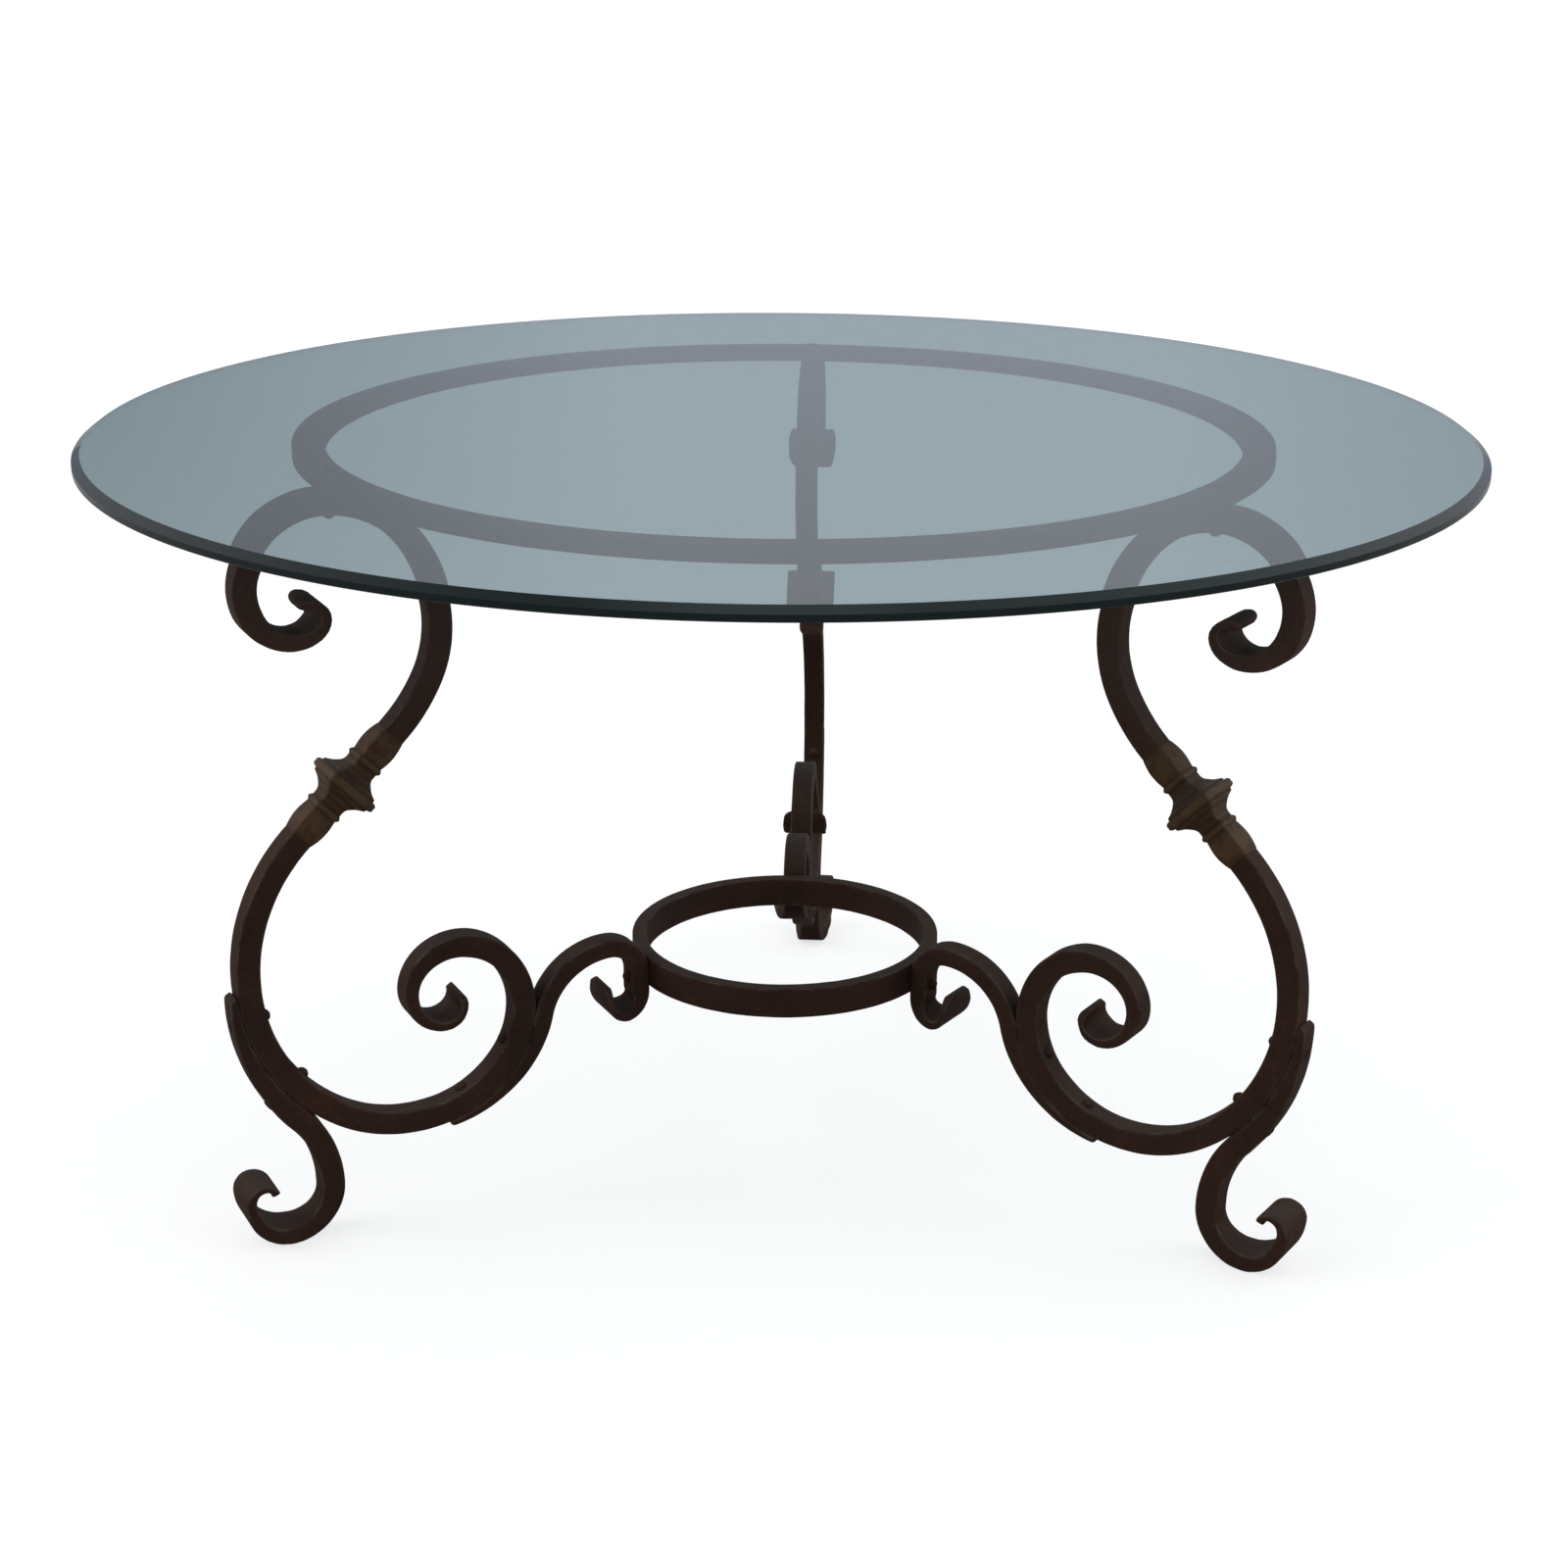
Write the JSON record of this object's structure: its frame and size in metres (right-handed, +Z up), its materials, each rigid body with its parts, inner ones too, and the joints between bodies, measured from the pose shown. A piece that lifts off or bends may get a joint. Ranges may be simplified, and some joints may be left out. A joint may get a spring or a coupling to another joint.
{
  "type": "round dining table",
  "caption": "Round dining table with a loose bevelled glass top on a tripod base of forged scroll legs, joined by a ring under the glass and a smaller ring low down.",
  "frame": {"origin": "on the floor under the middle of the table", "axes": "+Z up; one leg stands towards +Y and the other two towards the front left and front right"},
  "size_m": [1.3714, 1.3716, 0.7705],
  "materials": {
    "forged_iron": "dark brown wax over hammered scale",
    "bronzed_casting": "aged gold-brown",
    "clear_bumper": "clear, soft",
    "clear_glass": "polished, bevelled edge"
  },
  "bodies": {
    "base": {"back_leg_scroll": "forged_iron", "back_collar": "bronzed_casting", "back_foot_scroll": "forged_iron", "back_stretcher_scroll": "forged_iron", "left_leg_scroll": "forged_iron", "left_collar": "bronzed_casting", "left_foot_scroll": "forged_iron", "left_stretcher_scroll": "forged_iron", "right_leg_scroll": "forged_iron", "right_collar": "bronzed_casting", "right_foot_scroll": "forged_iron", "right_stretcher_scroll": "forged_iron", "top_ring": "forged_iron", "lower_ring": "forged_iron", "foot_rivets": "forged_iron", "stretcher_rivets": "forged_iron", "top_ring_rivets": "forged_iron", "lower_ring_rivets": "forged_iron", "glass_bumpers": "clear_bumper"},
    "glass": {"glass_top": "clear_glass"}
  },
  "joints": [
    {"name": "glass_lift", "type": "slide", "parent": "base", "child": "glass", "axis": [0, 0, 1], "range_m": [0, 0.3]}
  ]
}
